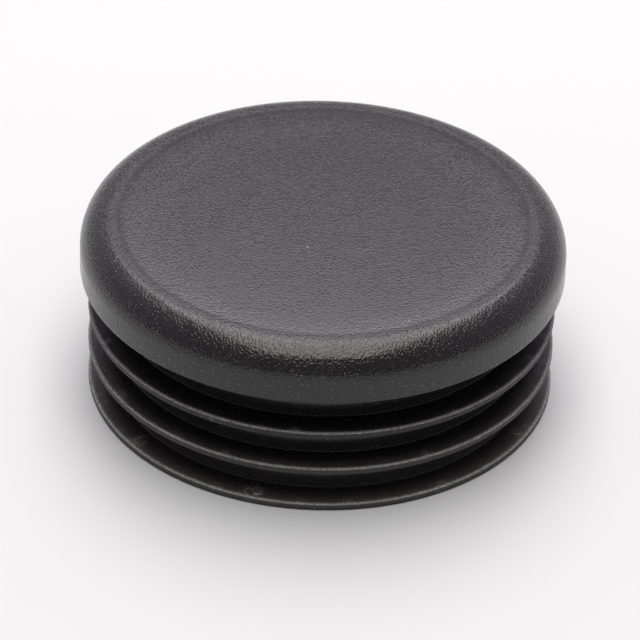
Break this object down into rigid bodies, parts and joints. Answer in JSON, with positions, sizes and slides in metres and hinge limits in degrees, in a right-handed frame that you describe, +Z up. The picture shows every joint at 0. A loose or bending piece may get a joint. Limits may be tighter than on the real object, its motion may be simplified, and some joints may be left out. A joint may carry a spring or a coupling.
{
  "type": "tube end cap",
  "caption": "Round push-in cap for the end of a tube: a flat-topped head with a rounded rim over a hollow stem ringed by thin flexible fins that grip the bore.",
  "frame": {"origin": "on the axis, in the plane of the stem's open end and of the lowest fin's lower face", "axes": "+Z up the axis, out of the tube through the head; X and Y are any two directions across it"},
  "size_m": [0.05, 0.05, 0.0194],
  "materials": {
    "polyethylene": "fine moulded grain on the head, smoother satin on the stem and fins"
  },
  "bodies": {
    "root": {"end_cap": "polyethylene"}
  },
  "joints": []
}
